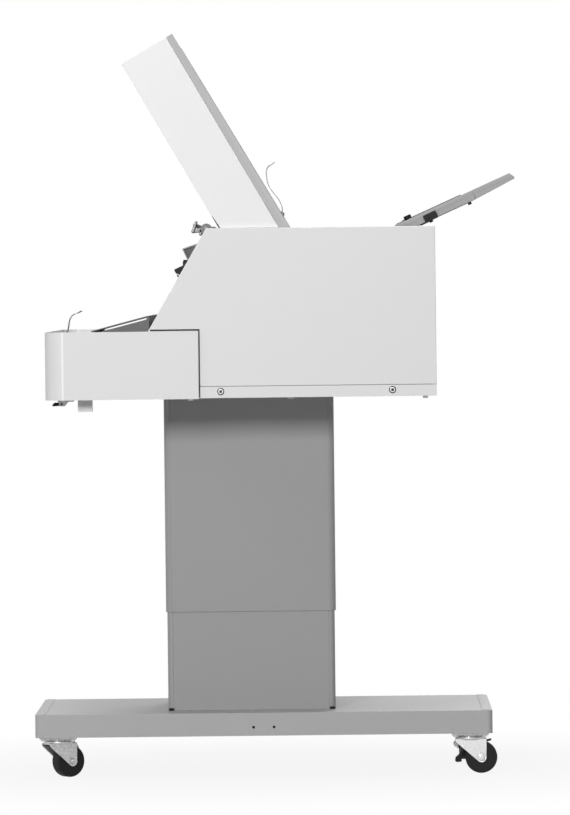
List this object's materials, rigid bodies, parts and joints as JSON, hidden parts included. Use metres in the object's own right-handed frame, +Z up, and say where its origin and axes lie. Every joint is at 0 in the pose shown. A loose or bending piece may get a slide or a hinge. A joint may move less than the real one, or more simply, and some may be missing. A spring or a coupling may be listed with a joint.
{
  "type": "large format plotter",
  "caption": "Sheet-fed large format plotter on a castered lifting pedestal, with a sloped feed tray, leaning sheet holder, slanted opening front and catch tray.",
  "frame": {"origin": "on the floor, midway between the foot's front end and the feed tray's tip, on the mid plane", "axes": "+X towards the rear feed side, -X the delivery side, +Y towards the side with the button panel, +Z up"},
  "size_m": [0.7551, 0.707, 1.1556],
  "materials": {
    "foot_steel": "satin light grey paint",
    "column_steel": "satin mid grey paint",
    "panel_steel": "satin pale grey paint",
    "holder_white": "satin white paint",
    "zinc": "bright zinc plate",
    "tyre_black": "matt rubber",
    "black_plastic": "fine grained",
    "grey_plastic": "fine grained",
    "brushed": "brushed lengthwise",
    "dark_steel": "oiled",
    "rail_steel": "ground",
    "roller_rubber": "ground rubber",
    "board_green": "solder mask",
    "switch_red": "gloss",
    "panel_black": "gloss",
    "button_grey": "satin"
  },
  "bodies": {
    "stand": {"foot": "foot_steel", "foot_trim": "foot_steel", "caster_plates": "zinc", "column_lower": "column_steel", "lift_drive": "dark_steel"},
    "machine": {"column_upper": "column_steel", "lift_rod": "rail_steel", "bottom_pan": "panel_steel", "side_panel_near": "panel_steel", "side_panel_far": "panel_steel", "rear_panel": "panel_steel", "top_cover": "panel_steel", "front_lower": "panel_steel", "chassis_frame": "zinc", "platen": "dark_steel", "carriage_rail": "rail_steel", "main_board": "board_green", "power_supply": "zinc", "power_inlet": "black_plastic", "control_panel": "panel_black", "drive_motors": "dark_steel", "delivery_ramp": "panel_steel", "body_fasteners": "zinc", "drive_belt": "roller_rubber"},
    "cover": {"front_cover": "panel_steel", "exit_channel": "brushed", "cover_grip": "black_plastic"},
    "release": {"release_lever": "dark_steel"},
    "feed": {"feed_roller": "roller_rubber"},
    "pinch_arms": {"pinch_bar": "dark_steel"},
    "pinch_wheels": {"pinch_rollers": "roller_rubber"},
    "carriage": {"carriage": "grey_plastic"},
    "tool": {"tool_holder": "rail_steel"},
    "pulley_far": {"pulley_drive": "rail_steel"},
    "pulley_near": {"pulley_idle": "rail_steel"},
    "rocker": {"power_switch": "switch_red"},
    "button_start": {"button_start": "button_grey"},
    "button_stop": {"button_stop": "button_grey"},
    "button_menu": {"button_menu": "button_grey"},
    "holder": {"holder_box": "holder_white", "holder_guide": "brushed"},
    "finger": {"holder_finger": "rail_steel"},
    "tray": {"feed_tray": "brushed"},
    "extension": {"feed_extension": "brushed"},
    "guide_near": {"side_guide_near": "grey_plastic"},
    "guide_far": {"side_guide_far": "grey_plastic"},
    "knob": {"guide_knob": "black_plastic"},
    "catch": {"catch_tray": "panel_steel"},
    "stop": {"wire_stop": "rail_steel"},
    "latch": {"tray_latch": "black_plastic"},
    "swivel_front_near": {"caster_fork_front_near": "zinc"},
    "wheel_front_near": {"caster_wheel_front_near": "tyre_black"},
    "swivel_rear_near": {"caster_fork_rear_near": "zinc"},
    "wheel_rear_near": {"caster_wheel_rear_near": "tyre_black"},
    "brake_rear_near": {"caster_brake_rear_near": "black_plastic"},
    "swivel_front_far": {"caster_fork_front_far": "zinc"},
    "wheel_front_far": {"caster_wheel_front_far": "tyre_black"},
    "swivel_rear_far": {"caster_fork_rear_far": "zinc"},
    "wheel_rear_far": {"caster_wheel_rear_far": "tyre_black"},
    "brake_rear_far": {"caster_brake_rear_far": "black_plastic"}
  },
  "joints": [
    {"name": "lift", "type": "slide", "parent": "stand", "child": "machine", "axis": [0, 0, 1], "range_m": [0, 0.12]},
    {"name": "caster_swivel_front_near", "type": "hinge", "parent": "stand", "child": "swivel_front_near", "pos_m": [-0.343, -0.17, 0.05], "axis": [0, 0, 1], "continuous": true},
    {"name": "wheel_spin_front_near", "type": "hinge", "parent": "swivel_front_near", "child": "wheel_front_near", "pos_m": [-0.32849, -0.16021, 0.025], "axis": [-0.5592, 0.829, 0], "continuous": true},
    {"name": "caster_swivel_rear_near", "type": "hinge", "parent": "stand", "child": "swivel_rear_near", "pos_m": [0.301, -0.17, 0.05], "axis": [0, 0, 1], "continuous": true},
    {"name": "wheel_spin_rear_near", "type": "hinge", "parent": "swivel_rear_near", "child": "wheel_rear_near", "pos_m": [0.3185, -0.17, 0.025], "axis": [0, 1, 0], "continuous": true},
    {"name": "brake_pedal_rear_near", "type": "hinge", "parent": "swivel_rear_near", "child": "brake_rear_near", "pos_m": [0.291, -0.17, 0.042], "axis": [0, -1, 0], "range_deg": [0, 10]},
    {"name": "caster_swivel_front_far", "type": "hinge", "parent": "stand", "child": "swivel_front_far", "pos_m": [-0.343, 0.17, 0.05], "axis": [0, 0, 1], "continuous": true},
    {"name": "wheel_spin_front_far", "type": "hinge", "parent": "swivel_front_far", "child": "wheel_front_far", "pos_m": [-0.34239, 0.15251, 0.025], "axis": [0.9994, 0.0349, 0], "continuous": true},
    {"name": "caster_swivel_rear_far", "type": "hinge", "parent": "stand", "child": "swivel_rear_far", "pos_m": [0.301, 0.17, 0.05], "axis": [0, 0, 1], "continuous": true},
    {"name": "wheel_spin_rear_far", "type": "hinge", "parent": "swivel_rear_far", "child": "wheel_rear_far", "pos_m": [0.29978, 0.15254, 0.025], "axis": [0.9976, -0.0698, 0], "continuous": true},
    {"name": "brake_pedal_rear_far", "type": "hinge", "parent": "swivel_rear_far", "child": "brake_rear_far", "pos_m": [0.3017, 0.17998, 0.042], "axis": [-0.9976, 0.0698, 0], "range_deg": [0, 10]},
    {"name": "front_cover", "type": "hinge", "parent": "machine", "child": "cover", "pos_m": [-0.09797, 0, 0.83701], "axis": [0, 1, 0], "range_deg": [0, 55]},
    {"name": "release_lever", "type": "hinge", "parent": "machine", "child": "release", "pos_m": [-0.09952, 0, 0.85453], "axis": [0, 1, 0], "range_deg": [0, 60]},
    {"name": "pinch_lift", "type": "hinge", "parent": "machine", "child": "pinch_arms", "pos_m": [0.05117, 0, 0.82958], "axis": [0, 1, 0], "range_deg": [0, 12]},
    {"name": "feed_roller", "type": "hinge", "parent": "machine", "child": "feed", "pos_m": [0.03683, 0, 0.78634], "axis": [0, 1, 0], "continuous": true},
    {"name": "pinch_roller", "type": "hinge", "parent": "pinch_arms", "child": "pinch_wheels", "pos_m": [0.02929, 0, 0.80954], "axis": [0, 1, 0], "continuous": true},
    {"name": "carriage", "type": "slide", "parent": "machine", "child": "carriage", "axis": [0, 1, 0], "range_m": [-0.235, 0.235]},
    {"name": "tool", "type": "slide", "parent": "carriage", "child": "tool", "axis": [0.309, 0, -0.9511], "range_m": [0, 0.0025]},
    {"name": "pulley_far", "type": "hinge", "parent": "machine", "child": "pulley_far", "pos_m": [-0.03932, 0.308, 0.82331], "axis": [-0.309, 0, 0.9511], "range_deg": [-1600, 1600]},
    {"name": "pulley_near", "type": "hinge", "parent": "machine", "child": "pulley_near", "pos_m": [-0.03932, -0.308, 0.82331], "axis": [-0.309, 0, 0.9511], "range_deg": [-1600, 1600]},
    {"name": "power_switch", "type": "hinge", "parent": "machine", "child": "rocker", "pos_m": [0.2475, 0.2195, 0.644], "axis": [0, -1, 0], "range_deg": [0, 14]},
    {"name": "button_start", "type": "slide", "parent": "machine", "child": "button_start", "axis": [0, 0, -1], "range_m": [0, 0.001], "stiffness_N_per_m": 400, "springref_m": -0.0005},
    {"name": "button_stop", "type": "slide", "parent": "machine", "child": "button_stop", "axis": [0, 0, -1], "range_m": [0, 0.001], "stiffness_N_per_m": 400, "springref_m": -0.0005},
    {"name": "button_menu", "type": "slide", "parent": "machine", "child": "button_menu", "axis": [0, 0, -1], "range_m": [0, 0.001], "stiffness_N_per_m": 400, "springref_m": -0.0005},
    {"name": "holder_tilt", "type": "hinge", "parent": "machine", "child": "holder", "pos_m": [0.034, 0, 0.846], "axis": [0, 1, 0], "range_deg": [0, 40]},
    {"name": "finger", "type": "hinge", "parent": "holder", "child": "finger", "pos_m": [0.01549, 0, 0.87895], "axis": [0, 1, 0], "range_deg": [0, 50]},
    {"name": "feed_tray", "type": "hinge", "parent": "machine", "child": "tray", "pos_m": [0.18999, 0, 0.83788], "axis": [0, -1, 0], "range_deg": [0, 60]},
    {"name": "tray_extension", "type": "slide", "parent": "tray", "child": "extension", "axis": [0.9135, 0, 0.4067], "range_m": [0, 0.09]},
    {"name": "side_guides", "type": "slide", "parent": "tray", "child": "guide_near", "axis": [0, -1, 0], "range_m": [-0.1, 0.11]},
    {"name": "side_guide_far", "type": "slide", "parent": "tray", "child": "guide_far", "axis": [0, 1, 0], "range_m": [-0.1, 0.11]},
    {"name": "guide_knob", "type": "hinge", "parent": "guide_near", "child": "knob", "pos_m": [0.21408, -0.164, 0.86689], "axis": [-0.4067, 0, 0.9135], "range_deg": [-180, 180]},
    {"name": "catch_tray", "type": "slide", "parent": "machine", "child": "catch", "axis": [-1, 0, 0], "range_m": [0, 0.06]},
    {"name": "wire_stop", "type": "hinge", "parent": "catch", "child": "stop", "pos_m": [-0.33, 0, 0.69], "axis": [0, 1, 0], "range_deg": [0, 60]},
    {"name": "tray_latch", "type": "hinge", "parent": "catch", "child": "latch", "pos_m": [-0.327, 0, 0.5865], "axis": [0, -1, 0], "range_deg": [0, 25], "stiffness_Nm_per_rad": 0.01, "springref_deg": -14.32}
  ],
  "couplings": [
    {"joint": "pinch_lift", "follows": "release_lever", "ratio": 0.2},
    {"joint": "pulley_far", "follows": "carriage", "rad_per_m": -111.7},
    {"joint": "pulley_near", "follows": "carriage", "rad_per_m": -111.7},
    {"joint": "side_guide_far", "follows": "side_guides", "ratio": 1}
  ]
}
